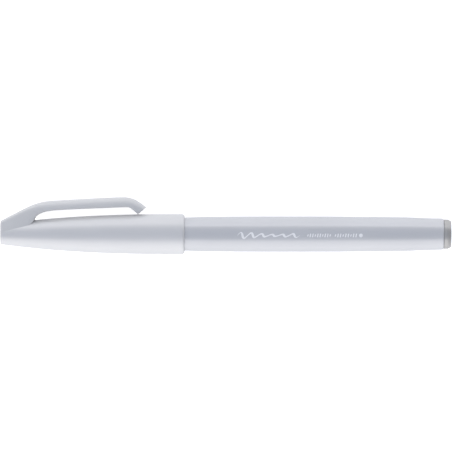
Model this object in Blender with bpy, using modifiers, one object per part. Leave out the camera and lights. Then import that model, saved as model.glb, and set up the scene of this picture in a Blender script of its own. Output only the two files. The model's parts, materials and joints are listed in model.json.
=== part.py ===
"""A brush-tipped calligraphy marker with its cap on, lying on a table.

Lengths here are millimetres until they are placed. Along the marker, places are
distances from the crown of the cap; across it, they are distances from its axis.
"""

import math

import bmesh
import bpy
from mathutils import Matrix, Vector

MM = 0.001
MERGE_DISTANCE = 0.000001  # metres: closes a turned shape without eating its detail
SHARP_ANGLE = math.radians(30)

# The whole marker
LENGTH = 148.0
CLIP_ROLL = math.radians(25.8)  # how far below level the clip points, so that it rests on the table

# Cap: a crown that swells to a straight mouth
CAP_LENGTH = 60.5
CAP_RADIUS = 6.64
CROWN_RADIUS = 3.35
SWELL_POWER = 2.5
CAP_WALL = 1.0
CROWN_THICKNESS = 1.3
CROWN_EDGE = 0.35
MOUTH_EDGE = 0.8
VENT_RADIUS = 0.8
SWELL_FROM = 2.0  # the swell is drawn in even steps between these places
SWELL_TO = 52.0
SWELL_STEPS = 14
CAVITY_STEPS = 11
CUTTER_OVERRUN = 1.0  # how far a cutter runs past the face that it opens

# Clip: ribs from its root in the crown to its tip, as
# (underside along, underside out, top along, top out, half width)
CLIP_RIBS = (
    (0.00, 0.30, 0.00, 3.95, 3.05),
    (0.35, 0.30, 0.35, 4.47, 3.40),
    (5.00, 1.30, 4.60, 6.60, 3.55),
    (9.30, 2.80, 9.00, 8.80, 3.40),
    (10.85, 4.30, 11.00, 9.62, 3.20),
    (11.55, 5.80, 12.60, 10.24, 3.05),
    (13.30, 7.05, 14.20, 10.62, 2.90),
    (16.00, 7.75, 16.40, 10.86, 2.75),
    (24.00, 8.22, 24.00, 11.36, 2.65),
    (32.00, 8.57, 32.00, 11.78, 2.60),
    (38.00, 8.82, 38.00, 12.06, 2.60),
    (41.60, 8.95, 41.20, 12.08, 2.60),
    (42.70, 8.62, 43.60, 11.37, 2.55),
    (43.90, 7.68, 45.70, 10.22, 2.45),
    (45.30, 6.67, 47.90, 8.74, 2.35),
)
CLIP_DOME = 3.2  # the height over which the clip's top is domed
CLIP_HINGE_RIB = 6  # the rib where the free arm starts
CLIP_GAP = 0.1
DOME_STEPS = 12
RIB_STEPS = 2
REACH_STEPS = 60

# Barrel: a tube whose outline is smooth through these (along, radius) stations
BARREL_STATIONS = (
    (60.9, 5.45),
    (66.0, 5.65),
    (76.0, 5.75),
    (88.0, 5.81),
    (106.0, 5.81),
    (120.0, 5.70),
    (133.0, 5.56),
    (139.0, 5.32),
    (145.3, 5.16),
)
BARREL_RUNS = ((60.9, 76.0, 6), (83.0, 133.0, 6), (136.0, 145.3, 4))  # (from, to, number of rings)
BARREL_FRONT = 47.0
BARREL_NECK_RADIUS = 5.28
BARREL_NECK_END = 60.0
BARREL_END = 145.65
BARREL_EDGE = 0.3
BARREL_BORE = 4.45

# Tail plug: a collar and chamfer outside the barrel, a cup inside it
PLUG_COLLAR = 145.75
PLUG_COLLAR_RADIUS = 4.82
PLUG_CHAMFER = 147.0
PLUG_COLLAR_TAPER = 0.03
PLUG_END_RADIUS = 4.41
PLUG_END_EDGE = 0.1
PLUG_CUP_RADIUS = 4.3
PLUG_CUP_FRONT = 141.5
PLUG_CUP_WALL = 0.9

# Front section: flange, neck and nose cone, with a plug inside the barrel
SECTION_FLANGE = 46.0
SECTION_FLANGE_RADIUS = 5.15
SECTION_NECK = 38.5
SECTION_NECK_RADIUS = 4.7
SECTION_NECK_EDGE = 0.3
SECTION_BEAD = 42.0
SECTION_BEAD_HEIGHT = 0.09
SECTION_BEAD_WIDTH = 0.8
NOSE_FRONT = 27.0
NOSE_FRONT_RADIUS = 1.9
NOSE_BACK_RADIUS = 3.6
NOSE_EDGE = 0.25
SECTION_PLUG_RADIUS = 4.3
SECTION_PLUG_END = 57.0
SECTION_CUP_RADIUS = 3.4
SECTION_CUP_FRONT = 48.5
BARREL_SEAT_GAP = 0.1

# Brush tip: a ball seated in the nose, drawn out to a point
TIP_RADIUS = 1.2
TIP_LENGTH = 7.1
TIP_POINT_RADIUS = 0.12
TIP_FULLNESS = 1.7
TIP_STEPS = 10
TIP_SEAT_RADIUS = 1.5
TIP_SEAT_DEPTH = 1.6

# Ink path
FEED_RADIUS = 1.0
FEED_BORE = 1.15
FEED_FRONT = 28.5
FEED_END = 62.0
RESERVOIR_FRONT = 58.0
RESERVOIR_END = 141.3
FILM_RADIUS = 4.25
FILM_THICKNESS = 0.2
CORE_GAP = 0.15

# Inner cap: a cup with a wide mouth around the neck and a narrow part around the tip
LINER_MOUTH = 45.7
LINER_MOUTH_RADIUS = 5.2
LINER_MOUTH_BORE = 4.87
LINER_SHOULDER_BACK = 37.5
LINER_SHOULDER_FRONT = 30.5
LINER_RADIUS = 3.95
LINER_BORE = 3.2
LINER_END = 16.0
LINER_END_THICKNESS = 0.9
LINER_END_EDGE = 0.3
LINER_LEAD_IN = 0.4
LINER_LEAD_IN_DEPTH = 0.1

# Facets round each turned piece
SIDES = 48
SMALL_SIDES = 24


def clear_scene():
    for thing in list(bpy.data.objects):
        bpy.data.objects.remove(thing, do_unlink=True)


def new_collection(name):
    collection = bpy.data.collections.new(name)
    bpy.context.scene.collection.children.link(collection)
    return collection


def plastic(name, color, roughness, metallic=0.0):
    """A plain material: colour, roughness and metallic value."""
    material = bpy.data.materials.new(name)
    material.use_nodes = True
    shader = material.node_tree.nodes["Principled BSDF"]
    shader.inputs["Base Color"].default_value = (*color, 1.0)
    shader.inputs["Roughness"].default_value = roughness
    shader.inputs["Metallic"].default_value = metallic
    material.diffuse_color = (*color, 1.0)
    return material


# ---------------------------------------------------------------- outlines


def arc(along, out, radius, start, end, steps=4):
    """Points on a fillet about (along, out): 0 degrees points outward, 90 along the marker."""
    points = []
    for step in range(steps + 1):
        angle = math.radians(start + (end - start) * step / steps)
        points.append((along + radius * math.sin(angle), out + radius * math.cos(angle)))
    return points


def smooth_value(stations, along, column=1):
    """A smooth curve through the stations' chosen column, read at a place along it."""
    keys = [station[0] for station in stations]
    values = [station[column] for station in stations]
    slopes = [(values[i + 1] - values[i]) / (keys[i + 1] - keys[i]) for i in range(len(keys) - 1)]
    tangents = [slopes[0]]
    for before, after in zip(slopes, slopes[1:]):
        tangents.append(0.0 if before * after <= 0 else 2 * before * after / (before + after))
    tangents.append(slopes[-1])
    index = min(max(sum(key <= along for key in keys) - 1, 0), len(keys) - 2)
    span = keys[index + 1] - keys[index]
    t = (along - keys[index]) / span
    start = (1 + 2 * t) * (1 - t) ** 2 * values[index] + t * (1 - t) ** 2 * span * tangents[index]
    end = t * t * (3 - 2 * t) * values[index + 1] + t * t * (t - 1) * span * tangents[index + 1]
    return start + end


def evenly(start, end, count):
    return [start + (end - start) * step / (count - 1) for step in range(count)]


def cap_radius(along):
    """The cap's outer radius: it swells fast behind the crown and runs straight at the mouth."""
    return CAP_RADIUS - (CAP_RADIUS - CROWN_RADIUS) * (1 - along / CAP_LENGTH) ** SWELL_POWER


def cap_outer_outline():
    crown = arc(CROWN_EDGE, cap_radius(CROWN_EDGE) - CROWN_EDGE, CROWN_EDGE, -90, 0, 3)
    swell = [(along, cap_radius(along)) for along in evenly(SWELL_FROM, SWELL_TO, SWELL_STEPS)]
    mouth = arc(CAP_LENGTH - MOUTH_EDGE, CAP_RADIUS - MOUTH_EDGE, MOUTH_EDGE, 0, 90)
    return [(0.0, 0.0), *crown, *swell, *mouth, (CAP_LENGTH, 0.0)]


def cap_cavity_outline():
    """The space inside the cap, run out past its mouth."""
    places = evenly(CROWN_THICKNESS, SWELL_TO, CAVITY_STEPS)
    wall = [(along, cap_radius(along) - CAP_WALL) for along in places]
    mouth_bore = CAP_RADIUS - CAP_WALL
    past = CAP_LENGTH + CUTTER_OVERRUN
    return [(CROWN_THICKNESS, 0.0), *wall, (CAP_LENGTH, mouth_bore), (past, mouth_bore), (past, 0.0)]


def liner_outline():
    wall = LINER_RADIUS - LINER_BORE
    cup_floor = LINER_END + LINER_END_THICKNESS
    return [
        (LINER_END, 0.0),
        (LINER_END, LINER_RADIUS - LINER_END_EDGE),
        (LINER_END + LINER_END_EDGE, LINER_RADIUS),
        (LINER_SHOULDER_FRONT, LINER_RADIUS),
        (LINER_SHOULDER_BACK - wall, LINER_MOUTH_RADIUS),
        (LINER_MOUTH, LINER_MOUTH_RADIUS),
        (LINER_MOUTH, LINER_MOUTH_BORE + LINER_LEAD_IN_DEPTH),
        (LINER_MOUTH - LINER_LEAD_IN, LINER_MOUTH_BORE),
        (LINER_SHOULDER_BACK, LINER_MOUTH_BORE),
        (LINER_SHOULDER_FRONT + wall, LINER_BORE),
        (cup_floor, LINER_BORE),
        (cup_floor, 0.0),
    ]


def barrel_outline():
    neck = arc(BARREL_FRONT + BARREL_EDGE, BARREL_NECK_RADIUS - BARREL_EDGE, BARREL_EDGE, -90, 0, 2)
    places = [along for run in BARREL_RUNS for along in evenly(*run)]
    body = [(along, smooth_value(BARREL_STATIONS, along)) for along in places]
    edge_radius = BARREL_STATIONS[-1][1]
    rear = arc(BARREL_END - BARREL_EDGE, edge_radius - BARREL_EDGE, BARREL_EDGE, 0, 90, 3)
    bore = [(BARREL_END, BARREL_BORE), (BARREL_FRONT, BARREL_BORE)]
    return [*neck, (BARREL_NECK_END, BARREL_NECK_RADIUS), *body, *rear[1:], *bore]


def section_outline():
    bead_half = SECTION_BEAD_WIDTH / 2
    nose = arc(NOSE_FRONT + NOSE_EDGE, NOSE_FRONT_RADIUS - NOSE_EDGE, NOSE_EDGE, -90, 0, 2)
    seat_floor = NOSE_FRONT + TIP_SEAT_DEPTH
    plug_front = BARREL_FRONT - BARREL_SEAT_GAP
    return [
        (NOSE_FRONT, TIP_SEAT_RADIUS),
        *nose,
        (SECTION_NECK, NOSE_BACK_RADIUS),
        (SECTION_NECK, SECTION_NECK_RADIUS - SECTION_NECK_EDGE),
        (SECTION_NECK + SECTION_NECK_EDGE, SECTION_NECK_RADIUS),
        (SECTION_BEAD - bead_half, SECTION_NECK_RADIUS),
        (SECTION_BEAD, SECTION_NECK_RADIUS + SECTION_BEAD_HEIGHT),
        (SECTION_BEAD + bead_half, SECTION_NECK_RADIUS),
        (SECTION_FLANGE, SECTION_NECK_RADIUS),
        (SECTION_FLANGE, SECTION_FLANGE_RADIUS),
        (plug_front, SECTION_FLANGE_RADIUS),
        (plug_front, SECTION_PLUG_RADIUS),
        (SECTION_PLUG_END, SECTION_PLUG_RADIUS),
        (SECTION_PLUG_END, SECTION_CUP_RADIUS),
        (SECTION_CUP_FRONT, SECTION_CUP_RADIUS),
        (SECTION_CUP_FRONT, FEED_BORE),
        (seat_floor, FEED_BORE),
        (seat_floor, TIP_SEAT_RADIUS),
    ]


def tip_outline():
    """The brush tip about its pivot: a point, a full flank and a ball that turns in its seat."""
    flank = []
    for part in evenly(1.0, 0.0, TIP_STEPS):
        radius = TIP_POINT_RADIUS + (TIP_RADIUS - TIP_POINT_RADIUS) * (1 - part**TIP_FULLNESS)
        flank.append((-TIP_LENGTH * part, radius))
    ball = arc(0.0, 0.0, TIP_RADIUS, 0, 90, 6)
    return [(-TIP_LENGTH - TIP_POINT_RADIUS, 0.0), *flank, *ball[1:-1], (TIP_RADIUS, 0.0)]


def core_outline():
    radius = FILM_RADIUS - FILM_THICKNESS - CORE_GAP
    front = RESERVOIR_FRONT + CORE_GAP
    pocket_floor = FEED_END + CORE_GAP * 2
    return [
        (pocket_floor, 0.0),
        (pocket_floor, FEED_BORE),
        (front, FEED_BORE),
        (front, radius),
        (RESERVOIR_END - CORE_GAP, radius),
        (RESERVOIR_END - CORE_GAP, 0.0),
    ]


def plug_outline():
    cup_bore = PLUG_CUP_RADIUS - PLUG_CUP_WALL
    cup_floor = PLUG_COLLAR - PLUG_CUP_WALL
    return [
        (cup_floor, 0.0),
        (cup_floor, cup_bore),
        (PLUG_CUP_FRONT, cup_bore),
        (PLUG_CUP_FRONT, PLUG_CUP_RADIUS),
        (PLUG_COLLAR, PLUG_CUP_RADIUS),
        (PLUG_COLLAR, PLUG_COLLAR_RADIUS),
        (PLUG_CHAMFER, PLUG_COLLAR_RADIUS - PLUG_COLLAR_TAPER),
        (LENGTH - PLUG_END_EDGE, PLUG_END_RADIUS),
        (LENGTH, PLUG_END_RADIUS - PLUG_END_EDGE),
        (LENGTH, 0.0),
    ]


def tube_outline(front, end, radius, bore):
    return [(front, radius), (end, radius), (end, bore), (front, bore)]


# ---------------------------------------------------------------- shapes


def place(name, mesh, material, collection, parent, origin=(0.0, 0.0)):
    """An object on the marker's axes; origin is (along, out) of its own origin."""
    thing = bpy.data.objects.new(name, mesh)
    thing.data.materials.append(material)
    thing.parent = parent
    thing.location = (origin[1] * MM, 0.0, -origin[0] * MM)
    collection.objects.link(thing)
    return thing


def smooth(mesh):
    mesh.shade_smooth()
    mesh.set_sharp_from_angle(angle=SHARP_ANGLE)


def turned(name, outline, material, collection, parent, origin=0.0, sides=SIDES):
    """A turned piece: its outline runs down the outer side, and back up the inner side.

    An outline that starts and ends on the axis is left open; any other is a closed ring.
    """
    mesh = bpy.data.meshes.new(name)
    points = [(out * MM, 0.0, -along * MM) for along, out in outline]
    edges = [(index, index + 1) for index in range(len(points) - 1)]
    if outline[0][1] > 0:
        edges.append((len(points) - 1, 0))
    mesh.from_pydata(points, edges, [])
    thing = place(name, mesh, material, collection, parent, (origin, 0.0))
    screw = thing.modifiers.new("turn", "SCREW")
    screw.axis = "Z"
    screw.angle = math.tau
    screw.steps = sides
    screw.render_steps = sides
    screw.use_merge_vertices = True
    screw.merge_threshold = MERGE_DISTANCE
    screw.use_smooth_shade = True
    return thing


def make_cutter(thing):
    thing.hide_render = True
    thing.display_type = "WIRE"


def combine(thing, other, operation):
    """Join or cut with another closed object, through an exact Boolean."""
    boolean = thing.modifiers.new(operation.lower(), "BOOLEAN")
    boolean.operation = operation
    boolean.solver = "EXACT"
    boolean.object = other
    make_cutter(other)


def clip_rib(place_number):
    """The rib at a place between the listed ones: underside, top and half width."""
    numbered = [(index, *rib) for index, rib in enumerate(CLIP_RIBS)]
    values = [smooth_value(numbered, place_number, column) for column in range(1, 6)]
    return Vector(values[0:2]), Vector(values[2:4]), values[4]


def rib_loop(place_number):
    """One cross-section of the clip: flat underside, straight flanks and a domed top."""
    underside, top, half_width = clip_rib(place_number)
    height = (top - underside).length
    upward = (top - underside) / height
    dome = min(CLIP_DOME, height)
    loop = [(underside, half_width)]
    for step in range(DOME_STEPS + 1):
        angle = math.pi * step / DOME_STEPS
        level = underside + upward * (height - dome + dome * math.sin(angle))
        loop.append((level, half_width * math.cos(angle)))
    loop.append((underside, -half_width))
    return loop


def lofted_clip(name, first, last, origin=(0.0, 0.0)):
    """A loft through the clip's ribs from first to last, with flat ends."""
    shape = bmesh.new()
    count = int((last - first) * RIB_STEPS) + 1
    loops = []
    for number in evenly(first, last, count):
        loop = []
        for level, sideways in rib_loop(number):
            out = (level.y - origin[1]) * MM
            along = (level.x - origin[0]) * MM
            loop.append(shape.verts.new((out, sideways * MM, -along)))
        loops.append(loop)
    for near, far in zip(loops, loops[1:]):
        for index in range(len(near)):
            after = (index + 1) % len(near)
            shape.faces.new((near[index], near[after], far[after], far[index]))
    shape.faces.new(reversed(loops[0]))
    shape.faces.new(loops[-1])
    bmesh.ops.recalc_face_normals(shape, faces=shape.faces)
    mesh = bpy.data.meshes.new(name)
    shape.to_mesh(mesh)
    shape.free()
    smooth(mesh)
    return mesh


# ---------------------------------------------------------------- the marker


def clip_reach(direction):
    """How far the clip reaches from the axis along a (out, sideways) direction."""
    furthest = 0.0
    for number in evenly(0, len(CLIP_RIBS) - 1, REACH_STEPS):
        for level, sideways in rib_loop(number):
            furthest = max(furthest, direction[0] * level.y + direction[1] * sideways)
    return furthest


def marker_axes():
    """An empty at the crown: its -Z runs down the marker, its +X points along the clip."""
    toward_clip = Vector((0.0, math.cos(CLIP_ROLL), -math.sin(CLIP_ROLL)))
    toward_crown = Vector((-1.0, 0.0, 0.0))
    sideways = toward_crown.cross(toward_clip)
    # The table's edge-on width is centred: the clip on one side, the cap's own radius on the other.
    reach = clip_reach((math.cos(CLIP_ROLL), math.sin(CLIP_ROLL)))
    crown = Vector((-LENGTH / 2, (CAP_RADIUS - reach) / 2, CAP_RADIUS)) * MM
    empty = bpy.data.objects.new("marker_axes", None)
    turn = Matrix((toward_clip, sideways, toward_crown)).transposed().to_4x4()
    empty.matrix_world = Matrix.Translation(crown) @ turn
    return empty


def add_cap(parts, cutters, axes):
    material = plastic("cap_plastic", (0.72, 0.74, 0.80), 0.42)
    cap = turned("cap_shell", cap_outer_outline(), material, parts, axes)
    root_mesh = lofted_clip("clip_root", 0, CLIP_HINGE_RIB)
    root = place("clip_root", root_mesh, material, cutters, axes)
    cavity = turned("cap_cavity", cap_cavity_outline(), material, cutters, axes)
    vent_from = -CUTTER_OVERRUN
    vent_to = CROWN_THICKNESS + CUTTER_OVERRUN
    vent_outline = [(vent_from, 0.0), (vent_from, VENT_RADIUS), (vent_to, VENT_RADIUS), (vent_to, 0.0)]
    vent = turned("cap_vent", vent_outline, material, cutters, axes, sides=SMALL_SIDES)
    combine(cap, root, "UNION")
    combine(cap, cavity, "DIFFERENCE")
    combine(cap, vent, "DIFFERENCE")


def add_clip(parts, axes):
    """The clip's free arm, whose origin is on the line that it flexes about."""
    material = plastic("clip_plastic", (0.72, 0.74, 0.80), 0.42)
    hinge = CLIP_RIBS[CLIP_HINGE_RIB][2:4]
    first = CLIP_HINGE_RIB + CLIP_GAP
    mesh = lofted_clip("clip", first, len(CLIP_RIBS) - 1, hinge)
    place("clip", mesh, material, parts, axes, hinge)


def add_barrel(parts, axes):
    material = plastic("barrel_plastic", (0.66, 0.69, 0.76), 0.28)
    turned("barrel", barrel_outline(), material, parts, axes)


def add_tail_plug(parts, axes):
    material = plastic("plug_plastic", (0.45, 0.45, 0.45), 0.35)
    turned("tail_plug", plug_outline(), material, parts, axes)


def add_inner_cap(parts, axes):
    material = plastic("liner_plastic", (0.85, 0.86, 0.88), 0.5)
    turned("inner_cap", liner_outline(), material, parts, axes)


def add_front_section(parts, axes):
    material = plastic("section_plastic", (0.62, 0.64, 0.70), 0.35)
    turned("front_section", section_outline(), material, parts, axes)


def add_brush_tip(parts, axes):
    """The tip's origin is the centre of its ball, where it bends."""
    material = plastic("tip_elastomer", (0.35, 0.36, 0.40), 0.6)
    turned("brush_tip", tip_outline(), material, parts, axes, NOSE_FRONT, SMALL_SIDES)


def add_ink_path(parts, axes):
    fibre = plastic("fibre", (0.60, 0.62, 0.68), 0.9)
    film = plastic("film", (0.80, 0.82, 0.84), 0.2)
    rod_outline = [(FEED_FRONT, 0.0), (FEED_FRONT, FEED_RADIUS), (FEED_END, FEED_RADIUS), (FEED_END, 0.0)]
    turned("feed_rod", rod_outline, fibre, parts, axes, sides=SMALL_SIDES)
    turned("reservoir_core", core_outline(), fibre, parts, axes, sides=SMALL_SIDES)
    bore = FILM_RADIUS - FILM_THICKNESS
    film_outline = tube_outline(RESERVOIR_FRONT, RESERVOIR_END, FILM_RADIUS, bore)
    turned("reservoir_film", film_outline, film, parts, axes, sides=SMALL_SIDES)


def main():
    clear_scene()
    parts = new_collection("calligraphy_marker")
    cutters = new_collection("cutters")
    axes = marker_axes()
    parts.objects.link(axes)
    add_cap(parts, cutters, axes)
    add_clip(parts, axes)
    add_barrel(parts, axes)
    add_tail_plug(parts, axes)
    add_inner_cap(parts, axes)
    add_front_section(parts, axes)
    add_brush_tip(parts, axes)
    add_ink_path(parts, axes)


main()
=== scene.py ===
"""Looks of the calligraphy marker: fine surfaces, materials, a pale table and soft studio light.

Shapes are in millimetres until they are placed. Along the marker, places are distances
from the crown of the cap; out from its axis, they are radii; the rest is in metres.
"""

import json
import math

import bmesh
import bpy
from mathutils import Matrix, Vector


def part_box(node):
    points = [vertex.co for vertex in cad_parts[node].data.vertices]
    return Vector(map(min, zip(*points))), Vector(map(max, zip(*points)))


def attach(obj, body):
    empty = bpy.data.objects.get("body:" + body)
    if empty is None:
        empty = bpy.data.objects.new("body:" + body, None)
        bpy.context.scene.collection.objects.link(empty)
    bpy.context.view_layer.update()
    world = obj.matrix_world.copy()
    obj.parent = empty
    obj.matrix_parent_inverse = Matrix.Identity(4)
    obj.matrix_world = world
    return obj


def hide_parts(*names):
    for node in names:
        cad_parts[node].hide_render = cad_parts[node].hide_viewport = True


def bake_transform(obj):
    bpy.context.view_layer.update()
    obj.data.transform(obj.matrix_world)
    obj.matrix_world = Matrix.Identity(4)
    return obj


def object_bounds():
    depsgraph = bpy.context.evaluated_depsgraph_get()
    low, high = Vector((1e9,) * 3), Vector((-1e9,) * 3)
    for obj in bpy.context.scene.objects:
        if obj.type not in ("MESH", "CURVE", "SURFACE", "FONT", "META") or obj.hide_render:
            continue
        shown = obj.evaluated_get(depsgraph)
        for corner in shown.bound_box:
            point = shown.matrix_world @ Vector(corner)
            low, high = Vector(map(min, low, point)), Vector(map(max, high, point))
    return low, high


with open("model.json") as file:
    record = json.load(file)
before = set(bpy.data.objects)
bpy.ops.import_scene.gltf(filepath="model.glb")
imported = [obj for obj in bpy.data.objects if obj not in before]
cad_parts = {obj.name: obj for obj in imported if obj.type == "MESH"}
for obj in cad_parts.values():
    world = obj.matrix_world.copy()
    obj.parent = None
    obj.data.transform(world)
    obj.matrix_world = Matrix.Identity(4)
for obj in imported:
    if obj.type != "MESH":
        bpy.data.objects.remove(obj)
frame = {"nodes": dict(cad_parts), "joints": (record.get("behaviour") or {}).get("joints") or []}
CAD_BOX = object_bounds()

MM = 0.001
SHARP_ANGLE = math.radians(28)
OUTER_SIDES = 160
SECTION_SIDES = 128
LINER_SIDES = 96
TIP_SIDES = 64

# The marker's axes, from the CAD model: the cap slides along -X and the clip flexes about a line
# that is square to its own direction.
JOINTS = {joint["name"]: joint for joint in frame["joints"]}
TOWARD_VIEWER = Vector(JOINTS["clip_flex"]["axis"]).normalized()
TOWARD_TAIL = Vector((1, 0, 0))
TOWARD_CLIP = TOWARD_VIEWER.cross(TOWARD_TAIL)
CAP_LOW, CAP_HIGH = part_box("cap_shell")
TIP_PIVOT = Vector(JOINTS["tip_bend"]["pos_m"])
CROWN = Vector((CAP_LOW.x, TIP_PIVOT.y, TIP_PIVOT.z))


def along_of(x):
    """A row-frame X as a distance from the crown, in millimetres."""
    return (x - CROWN.x) / MM


LENGTH = along_of(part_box("tail_plug")[1].x)
CAP_LENGTH = along_of(CAP_HIGH.x)
CAP_RADIUS = 6.63
CROWN_RADIUS = 3.34
SWELL_POWER = 2.5
SWELL_MARGIN = 1.0
SWELL_STEPS = 60
CAP_WALL = 1.0
CROWN_EDGE = 0.45
CROWN_FLAT = 1.8
CROWN_THICKNESS = 1.3
MOUTH_EDGE = 0.85
MOUTH_EDGE_END = 84  # degrees
SMALL_EDGE = 0.14
VENT_RADIUS = 0.8
VENT_EDGE = 0.04
SNAP_BEAD = 57.0
SNAP_BEAD_HEIGHT = 0.06
SNAP_BEAD_REACH = 0.4
BORE_TAPER_START = 52.0
BORE_STEPS = 24
ROOT_CUT_END = 40.0
ROOT_CUT_STEPS = 20
ROOT_CUT_OVERRUN = 1.0

# The clip's ribs, root to tip: underside along and out, top along and out, half width, height of
# the dome, and the power of its curve (2 is round, more is squarer)
CLIP_RIBS = (
    (0.03, 0.30, 0.03, 4.05, 3.00, 2.5, 5.0),
    (0.12, 0.30, 0.12, 4.31, 3.20, 2.5, 5.0),
    (0.42, 0.40, 0.42, 4.60, 3.38, 2.8, 5.0),
    (5.00, 1.30, 4.55, 6.74, 3.53, 3.6, 5.0),
    (9.30, 2.80, 8.95, 8.96, 3.38, 4.0, 4.0),
    (10.85, 4.25, 10.95, 9.82, 3.18, 3.9, 3.2),
    (11.60, 5.70, 12.60, 10.38, 3.03, 3.7, 2.7),
    (13.45, 6.92, 14.30, 10.74, 2.88, 3.4, 2.4),
    (16.20, 7.62, 16.50, 10.98, 2.73, 3.0, 2.2),
    (24.00, 8.15, 24.00, 11.45, 2.63, 2.9, 2.1),
    (32.00, 8.50, 32.00, 11.86, 2.58, 2.9, 2.1),
    (38.00, 8.75, 38.00, 12.13, 2.58, 2.9, 2.1),
    (41.55, 8.87, 40.90, 12.18, 2.58, 2.9, 2.1),
    (42.65, 8.55, 43.45, 11.70, 2.53, 2.7, 2.1),
    (43.90, 7.63, 45.80, 10.44, 2.43, 2.4, 2.1),
    (45.05, 6.68, 47.80, 8.94, 2.33, 2.2, 2.1),
    (45.22, 6.60, 47.90, 8.82, 2.20, 2.0, 2.1),
)
CLIP_CORNER = 0.35
CLIP_DOME_STEPS = 36
CLIP_CORNER_STEPS = 4
CLIP_RIB_STEPS = 8

BARREL_STATIONS = (
    (59.7, 5.44),
    (66.0, 5.68),
    (76.0, 5.78),
    (88.0, 5.83),
    (106.0, 5.83),
    (120.0, 5.72),
    (133.0, 5.58),
    (139.0, 5.33),
    (145.3, 5.15),
)
BARREL_FRONT = 47.0
BARREL_FRONT_EDGE = 0.3
BARREL_NECK_RADIUS = 5.27
BARREL_SHOULDER = ((58.6, 5.27), (59.0, 5.28), (59.35, 5.34), (59.55, 5.42))
BARREL_END = 145.65
BARREL_EDGE = 0.6
BARREL_EDGE_MARGIN = 0.2
BARREL_STEPS = 90
BARREL_BORE = 4.45

PLUG_COLLAR = 145.67
PLUG_COLLAR_RADIUS = 4.84
PLUG_COLLAR_EDGE = 0.1
PLUG_CHAMFER = 147.0
PLUG_CHAMFER_EDGE = ((-0.05, -0.01), (0.05, -0.06))  # from the chamfer's start, along and out
PLUG_END_RADIUS = 4.40
PLUG_END_EDGE = 0.16
PLUG_END_INSET = 0.14
PLUG_CUP_RADIUS = 4.3
PLUG_CUP_FRONT = 141.5
PLUG_CUP_WALL = 0.9
# The shallow ring and the gate mark in the end face, from the rim inward: depth, radius
PLUG_FACE = ((0.0, 3.05), (0.07, 2.98), (0.09, 2.85), (0.09, 0.75), (0.2, 0.66), (0.24, 0.4), (0.24, 0.0))

SECTION_FLANGE = 46.0
SECTION_FLANGE_RADIUS = 5.14
SECTION_FLANGE_EDGE = 0.12
SECTION_FLANGE_FILLET = 0.15
SECTION_NECK = 38.5
SECTION_NECK_RADIUS = 4.69
SECTION_NECK_EDGE = 0.3
SECTION_BEAD = 42.0
SECTION_BEAD_HEIGHT = 0.09
SECTION_BEAD_WIDTH = 0.8
SECTION_BEAD_STEPS = 13
NOSE_FOOT = ((-0.2, -0.02), (0.0, 0.18))  # from the back of the nose cone, along and out
NOSE_FRONT = 27.0
NOSE_FRONT_RADIUS = 1.89
NOSE_BACK_RADIUS = 3.59
NOSE_EDGE = 0.3
SECTION_PLUG_RADIUS = 4.3
SECTION_PLUG_END = 57.0
SECTION_CUP_RADIUS = 3.4
SECTION_CUP_FRONT = 48.5
SECTION_PLUG_FRONT = 46.9
FEED_BORE = 1.15
TIP_SEAT_RADIUS = 1.5
TIP_SEAT_DEPTH = 1.6

TIP_RADIUS = 1.2
TIP_LENGTH = 7.1
TIP_POINT_RADIUS = 0.12
TIP_FULLNESS = 1.7
TIP_FLANK_END = 0.99
TIP_STEPS = 36

LINER_MOUTH = 45.7
LINER_MOUTH_RADIUS = 5.2
LINER_MOUTH_BORE = 4.87
LINER_SHOULDER_BACK = 37.5
LINER_SHOULDER_FRONT = 30.5
LINER_RADIUS = 3.95
LINER_BORE = 3.2
LINER_END = 16.0
LINER_END_THICKNESS = 0.9
LINER_END_EDGE = 0.3
LINER_FLOOR_EDGE = 0.2
LINER_MOUTH_EDGE = 0.1
LINER_LEAD_IN = 0.4

# The printed marks on the barrel: a brush flourish, two rows of ticks and a dot
PRINT_LIFT = 0.012
PRINT_ARC = -0.4  # how far round the barrel the print's middle lies from the viewer's side
FLOURISH_START = 77.8
FLOURISH_END = 98.2
FLOURISH_WAVES = 6
FLOURISH_STEPS = 24  # for each wave
FLOURISH_HEIGHT = 0.98
FLOURISH_SWELL = 0.35  # how much the waves' height varies
FLOURISH_SWELL_TURN = 5.0
FLOURISH_LEAN = 0.35
FLOURISH_STROKE = 0.38
FLOURISH_SHADE = 0.28  # how much the stroke thickens on its way down
FLOURISH_THIN_END = 0.35
FLOURISH_TAPER = 12
TICK_ROWS = ((100.9, 108.2, 10), (109.9, 116.7, 9))  # (from, to, number of ticks)
TICK_HEIGHT = 0.6
TICK_SHORT = 0.6
TICK_LEAN = 0.12
TICK_STROKE = 0.18
DOT_PLACE = 118.25
DOT_RADIUS = 0.62
DOT_REACH = 0.97
DOT_STEPS = 15
STROKE_STEPS = 5  # points across a stroke

CAP_COLOR = (0.715, 0.71, 0.71)
CLIP_COLOR = (0.70, 0.695, 0.69)
BARREL_COLOR = (0.65, 0.65, 0.662)
PLUG_COLOR = (0.48, 0.47, 0.455)
LINER_COLOR = (0.80, 0.81, 0.82)
SECTION_COLOR = (0.55, 0.57, 0.62)
TIP_COLOR = (0.42, 0.44, 0.49)
INK_COLOR = (0.26, 0.28, 0.34)
FIBRE_COLOR = (0.58, 0.60, 0.66)
FILM_COLOR = (0.80, 0.82, 0.84)
PRINT_COLOR = (0.95, 0.95, 0.96)

# The surround and its two dim patches: one over the side that faces the viewer, one past the tail
SURROUND_COLOR = (0.765, 0.775, 0.82)
DIM_COLOR = (0.47, 0.53, 0.65)
DIM_END_COLOR = (0.22, 0.235, 0.28)
DIM_PATCH_ANGLE = math.radians(58)
DIM_END_TURN = 1.4
DIM_END_ANGLE = math.radians(48)

EDGE_TINT = (0.45, 0.46, 0.48, 1.0)  # pearly plastic reflects less at a glancing angle
PEARL = 0.03  # how far flow marks and flecks lighten and darken it
LUSTER_FADE_START = 0.7
LUSTER_FADE_END = 0.95

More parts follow.
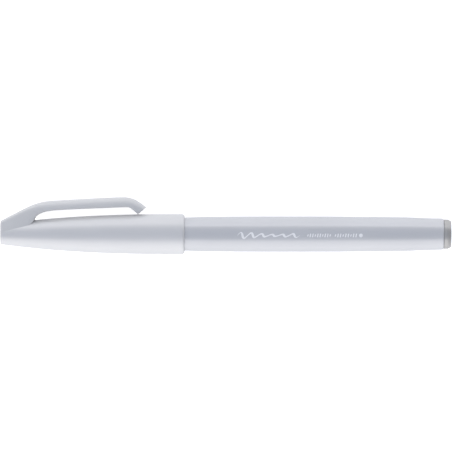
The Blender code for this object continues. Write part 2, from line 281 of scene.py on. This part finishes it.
TABLE_GAP = 0.00005
TABLE_REACH = 4.0
TABLE_GLOW = 0.62
TABLE_COLORS = ((0.86, 0.86, 0.865), (0.88, 0.88, 0.885))
# Soft boxes: name, direction from the marker, size along and across it, strength
SOFT_BOXES = (
    ("near_box", (0, -0.77, 0.64), (1.3, 1.35), 0.87),
    ("far_strip", (0, 0.997, 0.075), (1.6, 0.12), 1.5),
)
BOX_DISTANCE = 0.9
CAMERA_LENS = 300
CAMERA_SENSOR = 36
PICTURE_MARGIN = 1.004  # the picture's width over the marker's length
CAMERA_AIM = (LENGTH / 2 + 0.1, 2.69)  # along the marker and out toward the clip
CAMERA_REACH = 20


# ---------------------------------------------------------------- curves and outlines


def evenly(start, end, count):
    """Evenly spaced numbers, with both ends among them."""
    return [start + (end - start) * step / (count - 1) for step in range(count)]


def arc(along, out, radius, start, end, steps=8):
    """Points on a fillet about (along, out): 0 degrees points outward, 90 along the marker."""
    points = []
    for angle in evenly(math.radians(start), math.radians(end), steps + 1):
        points.append((along + radius * math.sin(angle), out + radius * math.cos(angle)))
    return points


def smooth_value(stations, along, column=1):
    """A smooth curve through the stations' chosen column, read at a place along it."""
    keys = [station[0] for station in stations]
    values = [station[column] for station in stations]
    slopes = [(values[i + 1] - values[i]) / (keys[i + 1] - keys[i]) for i in range(len(keys) - 1)]
    tangents = [slopes[0]]
    for before, after in zip(slopes, slopes[1:]):
        tangents.append(0.0 if before * after <= 0 else 2 * before * after / (before + after))
    tangents.append(slopes[-1])
    index = min(max(sum(key <= along for key in keys) - 1, 0), len(keys) - 2)
    span = keys[index + 1] - keys[index]
    t = (along - keys[index]) / span
    start = (1 + 2 * t) * (1 - t) ** 2 * values[index] + t * (1 - t) ** 2 * span * tangents[index]
    end = t * t * (3 - 2 * t) * values[index + 1] + t * t * (t - 1) * span * tangents[index + 1]
    return start + end


def cap_radius(along):
    """The cap's outer radius: it swells fast behind the crown and runs straight at the mouth."""
    return CAP_RADIUS - (CAP_RADIUS - CROWN_RADIUS) * (1 - along / CAP_LENGTH) ** SWELL_POWER


def barrel_radius(along):
    """The barrel's outer radius, smooth through its stations."""
    return smooth_value(BARREL_STATIONS, along)


def cap_inside():
    """The inside of the cap, from its mouth to its crown, with the snap bead near the mouth."""
    bore = CAP_RADIUS - CAP_WALL
    bead_back = (SNAP_BEAD + SNAP_BEAD_REACH, bore)
    bead_front = (SNAP_BEAD - SNAP_BEAD_REACH, bore)
    bead = [bead_back, (SNAP_BEAD, bore - SNAP_BEAD_HEIGHT), bead_front]
    places = evenly(BORE_TAPER_START, CROWN_THICKNESS, BORE_STEPS)
    taper = [(along, cap_radius(along) - CAP_WALL) for along in places]
    return [*bead, *taper, (CROWN_THICKNESS, VENT_RADIUS)]


def cap_outline():
    """Round the wall: the crown's face, the swell, the mouth and the inside back to the hole."""
    hole_edge = [(VENT_EDGE, VENT_RADIUS + VENT_EDGE), (0.0, VENT_RADIUS + SMALL_EDGE)]
    crown = arc(CROWN_EDGE, cap_radius(CROWN_EDGE) - CROWN_EDGE, CROWN_EDGE, -90, 0)
    places = evenly(SWELL_MARGIN, CAP_LENGTH - MOUTH_EDGE - SWELL_MARGIN, SWELL_STEPS)
    swell = [(along, cap_radius(along)) for along in places]
    mouth = arc(CAP_LENGTH - MOUTH_EDGE, CAP_RADIUS - MOUTH_EDGE, MOUTH_EDGE, 0, MOUTH_EDGE_END)
    bore = CAP_RADIUS - CAP_WALL
    inner_edge = arc(CAP_LENGTH - SMALL_EDGE, bore + SMALL_EDGE, SMALL_EDGE, 90, 180, 3)
    outside = [*hole_edge, (0.0, CROWN_FLAT), *crown, *swell, *mouth]
    return [*outside, *inner_edge, *cap_inside(), (SMALL_EDGE, VENT_RADIUS)]


def cap_space_outline():
    """The space that the clip's root must leave free: the breather hole and the cap's inside."""
    front = -ROOT_CUT_OVERRUN
    hole = [(front, 0.0), (front, VENT_RADIUS), (CROWN_THICKNESS, VENT_RADIUS)]
    places = evenly(CROWN_THICKNESS, ROOT_CUT_END, ROOT_CUT_STEPS)
    inside = [(along, cap_radius(along) - CAP_WALL) for along in places]
    return [*hole, *inside, (ROOT_CUT_END, 0.0)]


def barrel_outline():
    """The barrel: a neck inside the cap, a shoulder, the long body and a rounded rear edge."""
    edge = BARREL_FRONT_EDGE
    front = arc(BARREL_FRONT + edge, BARREL_NECK_RADIUS - edge, edge, -90, 0, 5)
    body_end = BARREL_END - BARREL_EDGE - BARREL_EDGE_MARGIN
    places = evenly(BARREL_STATIONS[0][0], body_end, BARREL_STEPS)
    body = [(along, barrel_radius(along)) for along in places]
    edge_out = barrel_radius(BARREL_END - BARREL_EDGE)
    rear = arc(BARREL_END - BARREL_EDGE, edge_out - BARREL_EDGE, BARREL_EDGE, 0, 90)
    bore = [(BARREL_END, BARREL_BORE), (BARREL_FRONT, BARREL_BORE)]
    return [*front, *BARREL_SHOULDER, *body, *rear, *bore]


def plug_outline():
    """A cup in the barrel, then the collar, the chamfer and the end face."""
    cup_bore = PLUG_CUP_RADIUS - PLUG_CUP_WALL
    cup_floor = PLUG_COLLAR - PLUG_CUP_WALL
    inside = [(cup_floor, 0.0), (cup_floor, cup_bore), (PLUG_CUP_FRONT, cup_bore)]
    shoulder = [(PLUG_CUP_FRONT, PLUG_CUP_RADIUS), (PLUG_COLLAR, PLUG_CUP_RADIUS)]
    edge = PLUG_COLLAR_EDGE
    collar = arc(PLUG_COLLAR + edge, PLUG_COLLAR_RADIUS - edge, edge, -90, 0, 3)
    chamfer = [(PLUG_CHAMFER + run, PLUG_COLLAR_RADIUS + rise) for run, rise in PLUG_CHAMFER_EDGE]
    end = arc(LENGTH - PLUG_END_EDGE, PLUG_END_RADIUS - PLUG_END_INSET, PLUG_END_EDGE, 20, 90, 4)
    face = [(LENGTH - depth, radius) for depth, radius in PLUG_FACE]
    return [*inside, *shoulder, *collar, *chamfer, *end, *face]


def section_outline():
    """The tip holder: nose cone, sealing neck with its bead, flange, and the plug in the barrel."""
    nose = arc(NOSE_FRONT + NOSE_EDGE, NOSE_FRONT_RADIUS - NOSE_EDGE, NOSE_EDGE, -90, -10, 6)
    foot = [(SECTION_NECK + run, NOSE_BACK_RADIUS + rise) for run, rise in NOSE_FOOT]
    edge = SECTION_NECK_EDGE
    neck_edge = arc(SECTION_NECK + edge, SECTION_NECK_RADIUS - edge, edge, -80, 0, 5)
    bead = []
    for turn in evenly(-math.pi, math.pi, SECTION_BEAD_STEPS):
        run = SECTION_BEAD_WIDTH * turn / math.tau
        lift = SECTION_BEAD_HEIGHT * (1 + math.cos(turn)) / 2
        bead.append((SECTION_BEAD + run, SECTION_NECK_RADIUS + lift))
    edge = SECTION_FLANGE_EDGE
    flange = [(SECTION_FLANGE - SECTION_FLANGE_FILLET, SECTION_NECK_RADIUS)]
    flange += [(SECTION_FLANGE, SECTION_NECK_RADIUS + edge)]
    flange += arc(SECTION_FLANGE + edge, SECTION_FLANGE_RADIUS - edge, edge, -80, 0, 4)
    flange += [(SECTION_PLUG_FRONT, SECTION_FLANGE_RADIUS), (SECTION_PLUG_FRONT, SECTION_PLUG_RADIUS)]
    plug = [(SECTION_PLUG_END, SECTION_PLUG_RADIUS), (SECTION_PLUG_END, SECTION_CUP_RADIUS)]
    cup = [(SECTION_CUP_FRONT, SECTION_CUP_RADIUS), (SECTION_CUP_FRONT, FEED_BORE)]
    seat_floor = NOSE_FRONT + TIP_SEAT_DEPTH
    seat = [(seat_floor, FEED_BORE), (seat_floor, TIP_SEAT_RADIUS), (NOSE_FRONT, TIP_SEAT_RADIUS)]
    return [*nose, *foot, *neck_edge, *bead, *flange, *plug, *cup, *seat]


def tip_outline():
    """The brush tip: a point, a full flank and the ball in its seat."""
    point_centre = NOSE_FRONT - TIP_LENGTH
    point = arc(point_centre, 0.0, TIP_POINT_RADIUS, -90, -10, 4)[1:]
    flank = []
    for part in evenly(TIP_FLANK_END, 0.0, TIP_STEPS):
        radius = TIP_POINT_RADIUS + (TIP_RADIUS - TIP_POINT_RADIUS) * (1 - part**TIP_FULLNESS)
        flank.append((NOSE_FRONT - TIP_LENGTH * part, radius))
    ball = arc(NOSE_FRONT, 0.0, TIP_RADIUS, 0, 90, 8)[1:-1]
    return [(point_centre - TIP_POINT_RADIUS, 0.0), *point, *flank, *ball, (NOSE_FRONT + TIP_RADIUS, 0.0)]


def liner_outline():
    """The inner cap: a closed cup round the tip that widens to a mouth round the sealing neck."""
    wall = LINER_RADIUS - LINER_BORE
    cup_floor = LINER_END + LINER_END_THICKNESS
    edge = LINER_MOUTH_EDGE
    return [
        (LINER_END, 0.0),
        *arc(LINER_END + LINER_END_EDGE, LINER_RADIUS - LINER_END_EDGE, LINER_END_EDGE, -90, 0, 4),
        (LINER_SHOULDER_FRONT, LINER_RADIUS),
        (LINER_SHOULDER_BACK - wall, LINER_MOUTH_RADIUS),
        *arc(LINER_MOUTH - edge, LINER_MOUTH_RADIUS - edge, edge, 0, 90, 3),
        (LINER_MOUTH, LINER_MOUTH_BORE + edge),
        (LINER_MOUTH - LINER_LEAD_IN, LINER_MOUTH_BORE),
        (LINER_SHOULDER_BACK, LINER_MOUTH_BORE),
        (LINER_SHOULDER_FRONT + wall, LINER_BORE),
        (cup_floor + LINER_FLOOR_EDGE, LINER_BORE),
        (cup_floor, LINER_BORE - LINER_FLOOR_EDGE),
        (cup_floor, 0.0),
    ]


# ---------------------------------------------------------------- shapes


def place(along, out, sideways=0.0):
    """A point in the row frame: along the marker, out toward the clip and toward the viewer."""
    return CROWN + (TOWARD_TAIL * along + TOWARD_CLIP * out + TOWARD_VIEWER * sideways) * MM


def finish_mesh(shape, name, material):
    """A smooth-shaded object from a bmesh, with its faces pointing out."""
    bmesh.ops.recalc_face_normals(shape, faces=shape.faces)
    mesh = bpy.data.meshes.new(name)
    shape.to_mesh(mesh)
    shape.free()
    mesh.shade_smooth()
    mesh.set_sharp_from_angle(angle=SHARP_ANGLE)
    mesh.materials.append(material)
    thing = bpy.data.objects.new(name, mesh)
    bpy.context.scene.collection.objects.link(thing)
    return thing


def join_loops(shape, loops):
    """Faces between each loop of vertices and the next; a loop of one vertex is a pole."""
    for near, far in zip(loops, loops[1:]):
        sides = max(len(near), len(far))
        for index in range(sides):
            after = (index + 1) % sides
            corners = [near[index % len(near)], near[after % len(near)]]
            corners += [far[after % len(far)], far[index % len(far)]]
            shape.faces.new(list(dict.fromkeys(corners)))


def ring_of(shape, along, out, sides):
    """A ring of vertices round the axis, or a single one on it."""
    if out == 0:
        return [shape.verts.new(place(along, 0))]
    ring = []
    for step in range(sides):
        angle = math.tau * step / sides
        ring.append(shape.verts.new(place(along, out * math.cos(angle), out * math.sin(angle))))
    return ring


def turned(name, outline, material, sides=OUTER_SIDES):
    """A turned piece. An outline off the axis is a closed ring; one on it is closed at its poles."""
    shape = bmesh.new()
    rings = [ring_of(shape, along, out, sides) for along, out in outline]
    if outline[0][1] > 0:
        rings.append(rings[0])
    join_loops(shape, rings)
    return finish_mesh(shape, name, material)


def rib_loop(number):
    """One cross-section of the clip: flat underside with eased corners, flanks and domed top."""
    numbered = [(index, *rib) for index, rib in enumerate(CLIP_RIBS)]
    values = [smooth_value(numbered, number, column) for column in range(1, 8)]
    underside, top = Vector(values[0:2]), Vector(values[2:4])
    half_width, dome, power = values[4:]
    height = (top - underside).length
    upward = (top - underside) / height
    right = []
    for angle in evenly(math.pi / 2, 0, CLIP_CORNER_STEPS):
        level = CLIP_CORNER * (1 - math.sin(angle))
        right.append((level, half_width - CLIP_CORNER * (1 - math.cos(angle))))
    crest = []
    for angle in evenly(0, math.pi, CLIP_DOME_STEPS + 1)[1:-1]:
        rise = math.sin(angle) ** (2 / power)
        reach = math.copysign(abs(math.cos(angle)) ** (2 / power), math.cos(angle))
        crest.append((height - dome + dome * rise, half_width * reach))
    left = [(level, -width) for level, width in reversed(right)]
    return [(underside + upward * level, width) for level, width in (*right, *crest, *left)]


def clip_moulding(material):
    """The clip from its root in the crown to its tip, lofted through its ribs."""
    shape = bmesh.new()
    last = len(CLIP_RIBS) - 1
    loops = []
    for number in evenly(0, last, CLIP_RIB_STEPS * last + 1):
        corners = rib_loop(number)
        loops.append([shape.verts.new(place(at.x, at.y, sideways)) for at, sideways in corners])
    join_loops(shape, loops)
    shape.faces.new(loops[0])
    shape.faces.new(loops[-1])
    return finish_mesh(shape, "clip_moulding", material)


def cut_away(thing, cutter):
    """Cuts a piece with a closed cutter, which is then removed."""
    boolean = thing.modifiers.new("cut", "BOOLEAN")
    boolean.operation = "DIFFERENCE"
    boolean.solver = "EXACT"
    boolean.object = cutter
    bpy.context.view_layer.update()
    evaluated = thing.evaluated_get(bpy.context.evaluated_depsgraph_get())
    mesh = bpy.data.meshes.new_from_object(evaluated)
    thing.modifiers.clear()
    thing.data = mesh
    mesh.shade_smooth()
    mesh.set_sharp_from_angle(angle=SHARP_ANGLE)
    bpy.data.objects.remove(cutter, do_unlink=True)


def on_barrel(along, round_it, lift):
    """A point on the barrel, a distance round it from the middle of the print."""
    radius = barrel_radius(along)
    angle = (round_it + PRINT_ARC) / radius
    return place(along, (radius + lift) * math.sin(angle), (radius + lift) * math.cos(angle))


def add_stroke(shape, points, widths):
    """A thin closed ribbon of ink along points (along, round the barrel), a width at each."""
    loops = []
    for index, (point, width) in enumerate(zip(points, widths)):
        before = Vector(points[max(index - 1, 0)])
        after = Vector(points[min(index + 1, len(points) - 1)])
        run = (after - before).normalized()
        side = Vector((-run.y, run.x)) * width
        loop = []
        for start, end, lift in ((-1, 1, PRINT_LIFT), (1, -1, -PRINT_LIFT)):
            for across in evenly(start, end, STROKE_STEPS):
                spot = Vector(point) + side * across
                loop.append(shape.verts.new(on_barrel(spot.x, spot.y, lift)))
        loops.append(loop)
    join_loops(shape, loops)
    shape.faces.new(loops[0])
    shape.faces.new(loops[-1])


def add_flourish(shape):
    """A generic brush flourish: waves that swell and fade, thick on the way down."""
    points = []
    widths = []
    for part in evenly(0, 1, FLOURISH_WAVES * FLOURISH_STEPS + 1):
        turn = part * FLOURISH_WAVES * math.tau
        swell = 1 - FLOURISH_SWELL + FLOURISH_SWELL * math.cos(part * FLOURISH_SWELL_TURN)
        along = FLOURISH_START + (FLOURISH_END - FLOURISH_START) * part
        points.append((along + FLOURISH_LEAN * math.sin(turn), FLOURISH_HEIGHT * swell * math.sin(turn)))
        ends = min(1.0, FLOURISH_TAPER * part, FLOURISH_TAPER * (1 - part))
        thinned = FLOURISH_THIN_END + (1 - FLOURISH_THIN_END) * ends
        shade = 1 - FLOURISH_SHADE - FLOURISH_SHADE * math.cos(turn)
        widths.append(FLOURISH_STROKE * thinned * shade)
    add_stroke(shape, points, widths)


def add_tick_row(shape, start, end, count):
    """A row of slanted ticks; every third one is short."""
    for index, along in enumerate(evenly(start, end, count)):
        reach = TICK_HEIGHT * (1.0 if index % 3 else TICK_SHORT)
        points = [(along - TICK_LEAN, -reach), (along, 0.0), (along + TICK_LEAN, reach)]
        add_stroke(shape, points, [TICK_STROKE] * 3)


def add_dot(shape):
    """A round dot, as one stroke that widens and narrows."""
    points = []
    widths = []
    for part in evenly(-DOT_REACH, DOT_REACH, DOT_STEPS):
        points.append((DOT_PLACE + DOT_RADIUS * part, 0.0))
        widths.append(DOT_RADIUS * math.sqrt(1 - part * part))
    add_stroke(shape, points, widths)


def barrel_print(material):
    """Generic printed marks, as thin closed ribbons of ink on the barrel."""
    shape = bmesh.new()
    add_flourish(shape)
    for row in TICK_ROWS:
        add_tick_row(shape, *row)
    add_dot(shape)
    return finish_mesh(shape, "barrel_print", material)


# ---------------------------------------------------------------- materials


class Nodes:
    """Short ways to add and join a material's nodes; noise scales are waves in a millimetre."""

    def __init__(self, name):
        self.material = bpy.data.materials.new(name)
        self.material.use_nodes = True
        self.tree = self.material.node_tree
        self.shader = self.tree.nodes["Principled BSDF"]

    def add(self, kind, **settings):
        node = self.tree.nodes.new(kind)
        for key, value in settings.items():
            setattr(node, key, value)
        return node

    def link(self, output, socket):
        self.tree.links.new(output, socket)

    def place_mm(self, stretch=(1, 1, 1)):
        """Object coordinates in millimetres, stretched along each axis."""
        coordinates = self.add("ShaderNodeTexCoord")
        mapping = self.add("ShaderNodeMapping")
        mapping.inputs["Scale"].default_value = [value / MM for value in stretch]
        self.link(coordinates.outputs["Object"], mapping.inputs["Vector"])
        return mapping.outputs["Vector"]

    def noise(self, scale, detail=3.0, stretch=(1, 1, 1), roughness=0.5):
        texture = self.add("ShaderNodeTexNoise")
        texture.inputs["Scale"].default_value = scale
        texture.inputs["Detail"].default_value = detail
        texture.inputs["Roughness"].default_value = roughness
        self.link(self.place_mm(stretch), texture.inputs["Vector"])
        return texture.outputs["Fac"]

    def spread(self, value, low, high, start=0.3, end=0.7):
        """The value remapped from start..end to low..high."""
        remap = self.add("ShaderNodeMapRange")
        remap.inputs["From Min"].default_value = start
        remap.inputs["From Max"].default_value = end
        remap.inputs["To Min"].default_value = low
        remap.inputs["To Max"].default_value = high
        self.link(value, remap.inputs["Value"])
        return remap.outputs["Result"]

    def math(self, operation, first, second):
        node = self.add("ShaderNodeMath", operation=operation)
        for socket, value in zip(node.inputs, (first, second)):
            if isinstance(value, (int, float)):
                socket.default_value = value
            else:
                self.link(value, socket)
        return node.outputs["Value"]

    def mix(self, factor, first, second):
        """A colour between two colours."""
        node = self.add("ShaderNodeMix", data_type="RGBA")
        self.link(factor, node.inputs["Factor"])
        for socket, value in ((node.inputs["A"], first), (node.inputs["B"], second)):
            if isinstance(value, tuple):
                socket.default_value = (*value, 1.0)
            else:
                self.link(value, socket)
        return node.outputs["Result"]

    def color(self, output):
        self.link(output, self.shader.inputs["Base Color"])

    def roughness(self, output):
        self.link(output, self.shader.inputs["Roughness"])

    def bump(self, height, strength, distance):
        """Bump of a height in millimetres."""
        node = self.add("ShaderNodeBump")
        node.inputs["Strength"].default_value = strength
        node.inputs["Distance"].default_value = distance * MM
        self.link(height, node.inputs["Height"])
        self.link(node.outputs["Normal"], self.shader.inputs["Normal"])

    def set(self, **values):
        for key, value in values.items():
            name = key.replace("_", " ").title().replace("Ior", "IOR")
            self.shader.inputs[name].default_value = value


def tinted(color, factor):
    """A colour made lighter or darker."""
    return tuple(min(1.0, channel * factor) for channel in color)


def moulded_plastic(name, color, roughness, luster, grain=0.01):
    """Pearly moulded plastic: slow flow marks and flecks, faint wear, less luster at its edges."""
    nodes = Nodes(name)
    flow = nodes.spread(nodes.noise(0.12, 4.0, (0.35, 1, 1)), 0, 1)
    fleck = nodes.spread(nodes.noise(9.0, 2.0), 0, 1, 0.35, 0.65)
    tone = nodes.math("ADD", nodes.math("MULTIPLY", flow, 0.6), nodes.math("MULTIPLY", fleck, 0.4))
    nodes.color(nodes.mix(tone, tinted(color, 1 - PEARL), tinted(color, 1 + PEARL)))
    scuffs = nodes.spread(nodes.noise(1.6, 5.0, (0.2, 1, 1), 0.65), -0.02, 0.03, 0.4, 0.7)
    nodes.roughness(nodes.math("ADD", scuffs, roughness))
    nodes.bump(nodes.noise(2.4, 4.0), 0.35, grain)
    glancing = nodes.add("ShaderNodeLayerWeight").outputs["Facing"]
    faded = nodes.spread(glancing, luster, 0, LUSTER_FADE_START, LUSTER_FADE_END)
    nodes.link(faded, nodes.shader.inputs["Metallic"])
    nodes.set(ior=1.49, specular_ior_level=0.05, specular_tint=EDGE_TINT)
    return nodes.material


def liner_plastic():
    """Natural, slightly waxy plastic: milky, with flow marks and a soft grain."""
    nodes = Nodes("liner_plastic")
    flow = nodes.spread(nodes.noise(0.2, 4.0, (0.4, 1, 1)), 0, 1)
    nodes.color(nodes.mix(flow, tinted(LINER_COLOR, 0.94), tinted(LINER_COLOR, 1.04)))
    nodes.roughness(nodes.spread(nodes.noise(1.2, 4.0), 0.42, 0.56))
    nodes.bump(nodes.noise(4.0, 3.0), 0.5, 0.02)
    nodes.set(ior=1.5, specular_ior_level=0.4)
    return nodes.material


def fibre_bundle(name, color, along_scale=0.06):
    """Bonded fibre: long fine strands along the marker."""
    nodes = Nodes(name)
    strands = nodes.noise(7.0, 4.0, (along_scale, 1, 1), 0.7)
    nodes.color(nodes.mix(nodes.spread(strands, 0, 1), tinted(color, 0.72), tinted(color, 1.12)))
    nodes.roughness(nodes.spread(strands, 0.95, 0.7))
    nodes.bump(strands, 0.7, 0.04)
    return nodes.material


def film_plastic():
    """Thin clear film: lengthwise draw lines and a few folds."""
    nodes = Nodes("film_plastic")
    lines = nodes.noise(3.0, 3.0, (0.03, 1, 1))
    nodes.color(nodes.mix(nodes.spread(lines, 0, 1), tinted(FILM_COLOR, 0.9), tinted(FILM_COLOR, 1.05)))
    nodes.roughness(nodes.spread(lines, 0.12, 0.28))
    nodes.bump(lines, 0.4, 0.03)
    nodes.set(ior=1.5, transmission_weight=0.3)
    return nodes.material


def tip_elastomer():
    """The brush tip: a fine porous elastomer, stained darker by ink toward its point."""
    nodes = Nodes("tip_elastomer")
    coordinates = nodes.add("ShaderNodeTexCoord")
    split = nodes.add("ShaderNodeSeparateXYZ")
    nodes.link(coordinates.outputs["Object"], split.inputs["Vector"])
    point = CROWN.x + (NOSE_FRONT - TIP_LENGTH) * MM
    root = CROWN.x + NOSE_FRONT * MM
    depth = nodes.spread(split.outputs["X"], 1.0, 0.25, point, root)
    pores = nodes.spread(nodes.noise(8.0, 3.0), -0.12, 0.12)
    stain = nodes.math("ADD", depth, pores)
    nodes.color(nodes.mix(stain, TIP_COLOR, INK_COLOR))
    nodes.roughness(nodes.spread(nodes.noise(6.0, 3.0), 0.45, 0.62))
    nodes.bump(nodes.noise(12.0, 3.0, (0.4, 1, 1)), 0.6, 0.02)
    nodes.set(ior=1.45)
    return nodes.material


def print_ink():
    """Pad-printed ink: pale, matte, a little uneven."""
    nodes = Nodes("print_ink")
    patches = nodes.spread(nodes.noise(5.0, 4.0), 0, 1)
    nodes.color(nodes.mix(patches, tinted(PRINT_COLOR, 0.93), tinted(PRINT_COLOR, 1.03)))
    nodes.roughness(nodes.spread(nodes.noise(8.0, 3.0), 0.45, 0.6))
    nodes.bump(nodes.noise(10.0, 2.0), 0.3, 0.004)
    return nodes.material


# ---------------------------------------------------------------- the marker


def settle(piece, body, node):
    """A piece that rides on a body and stands for a CAD node."""
    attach(piece, body)
    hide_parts(node)


def build_cap(plastic):
    """The cap, and the clip that grows out of its crown, cut clear of the cap's inside."""
    settle(turned("cap_body", cap_outline(), plastic), "cap", "cap_shell")
    clip = clip_moulding(moulded_plastic("clip_plastic", CLIP_COLOR, roughness=0.42, luster=0.2))
    cut_away(clip, turned("cap_space", cap_space_outline(), plastic))
    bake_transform(clip)
    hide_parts("clip")


def build_brush_tip():
    """The tip, with its ball held in its seat."""
    tip = turned("brush_tip_fine", tip_outline(), tip_elastomer(), TIP_SIDES)
    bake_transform(tip)
    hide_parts("brush_tip")


def build_barrel():
    """The barrel with its printed marks, the tail plug and the tip holder."""
    plastic = moulded_plastic("barrel_plastic", BARREL_COLOR, roughness=0.3, luster=0.3, grain=0.004)
    settle(turned("barrel_tube", barrel_outline(), plastic), "barrel", "barrel")
    marks = barrel_print(print_ink())
    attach(marks, "barrel")
    plug = moulded_plastic("plug_plastic", PLUG_COLOR, roughness=0.3, luster=0.4)
    settle(turned("tail_plug_fine", plug_outline(), plug), "barrel", "tail_plug")
    section = moulded_plastic("section_plastic", SECTION_COLOR, roughness=0.3, luster=0.3)
    holder = turned("tip_holder", section_outline(), section, SECTION_SIDES)
    settle(holder, "barrel", "front_section")


def paint_ink_path():
    """The ink path keeps its CAD shapes, which are right as they are."""
    rod = fibre_bundle("rod_fibre", tinted(FIBRE_COLOR, 0.9), 0.04)
    core = fibre_bundle("core_fibre", FIBRE_COLOR)
    film = film_plastic()
    for node, material in (("feed_rod", rod), ("reservoir_core", core), ("reservoir_film", film)):
        thing = frame["nodes"][node]
        thing.data.materials.clear()
        thing.data.materials.append(material)


def build_marker():
    build_cap(moulded_plastic("cap_plastic", CAP_COLOR, roughness=0.42, luster=0.34))
    liner = turned("inner_cap_fine", liner_outline(), liner_plastic(), LINER_SIDES)
    settle(liner, "cap", "inner_cap")
    build_barrel()
    build_brush_tip()
    paint_ink_path()


# ---------------------------------------------------------------- table, light and camera


def build_table():
    """A pale table top, far wider than any view of the marker."""
    shape = bmesh.new()
    bmesh.ops.create_grid(shape, x_segments=4, y_segments=4, size=TABLE_REACH)
    nodes = Nodes("table")
    nodes.color(nodes.mix(nodes.spread(nodes.noise(0.01, 3.0), 0, 1), *TABLE_COLORS))
    nodes.set(roughness=0.9, emission_color=(1, 1, 1, 1), emission_strength=TABLE_GLOW)
    table = finish_mesh(shape, "table", nodes.material)
    table.location.z = CAD_BOX[0].z - TABLE_GAP


def soft_light(name, direction, size, strength):
    """A rectangular soft box: its long side runs along X, and it faces the marker."""
    data = bpy.data.lights.new(name, "AREA")
    data.shape = "RECTANGLE"
    data.size = size[0]
    data.size_y = size[1]
    data.energy = strength * size[0] * size[1] * math.pi
    light = bpy.data.objects.new(name, data)
    bpy.context.scene.collection.objects.link(light)
    aim = Vector(direction).normalized()
    turn = Matrix((TOWARD_TAIL, aim.cross(TOWARD_TAIL), aim)).transposed().to_4x4()
    light.matrix_world = Matrix.Translation(place(LENGTH / 2, 0) + aim * BOX_DISTANCE) @ turn
    light.visible_camera = False


def dim_patch(tree, toward, angle):
    """How dim the surround is in each direction: 1 straight toward the patch, 0 past its angle."""
    direction = tree.nodes.new("ShaderNodeTexCoord").outputs["Generated"]
    cosine = tree.nodes.new("ShaderNodeVectorMath")
    cosine.operation = "DOT_PRODUCT"
    cosine.inputs[1].default_value = toward
    tree.links.new(direction, cosine.inputs[0])
    falloff = tree.nodes.new("ShaderNodeMapRange")
    falloff.interpolation_type = "SMOOTHSTEP"
    falloff.inputs["From Min"].default_value = math.cos(angle)
    tree.links.new(cosine.outputs["Value"], falloff.inputs["Value"])
    return falloff.outputs["Result"]


def paint_surround(tree):
    """A pale surround, dimmer and cooler in a patch high up and in one past the marker's tail."""
    past_tail = (TOWARD_VIEWER + TOWARD_TAIL * DIM_END_TURN).normalized()
    high_up = (TOWARD_VIEWER, DIM_PATCH_ANGLE, DIM_COLOR)
    color = None
    for toward, angle, dim_color in (high_up, (past_tail, DIM_END_ANGLE, DIM_END_COLOR)):
        mix = tree.nodes.new("ShaderNodeMix")
        mix.data_type = "RGBA"
        mix.inputs["A"].default_value = (*SURROUND_COLOR, 1.0)
        mix.inputs["B"].default_value = (*dim_color, 1.0)
        tree.links.new(dim_patch(tree, toward, angle), mix.inputs["Factor"])
        if color:
            tree.links.new(color, mix.inputs["A"])
        color = mix.outputs["Result"]
    tree.links.new(color, tree.nodes["Background"].inputs["Color"])


def build_light():
    """Two soft boxes and the surround."""
    for soft_box in SOFT_BOXES:
        soft_light(*soft_box)
    world = bpy.data.worlds.new("studio")
    world.use_nodes = True
    paint_surround(world.node_tree)
    bpy.context.scene.world = world


def build_camera():
    """Square to the clip's plane, as far back as its long lens needs."""
    data = bpy.data.cameras.new("camera")
    data.lens = CAMERA_LENS
    data.sensor_width = CAMERA_SENSOR
    data.clip_end = CAMERA_REACH
    distance = LENGTH * MM * PICTURE_MARGIN * CAMERA_LENS / CAMERA_SENSOR
    camera = bpy.data.objects.new("camera", data)
    bpy.context.scene.collection.objects.link(camera)
    turn = Matrix((TOWARD_TAIL, TOWARD_CLIP, TOWARD_VIEWER)).transposed().to_4x4()
    camera.matrix_world = Matrix.Translation(place(*CAMERA_AIM) + TOWARD_VIEWER * distance) @ turn
    bpy.context.scene.camera = camera
    bpy.context.scene.view_settings.view_transform = "Standard"


build_camera()
build_marker()
build_table()
build_light()
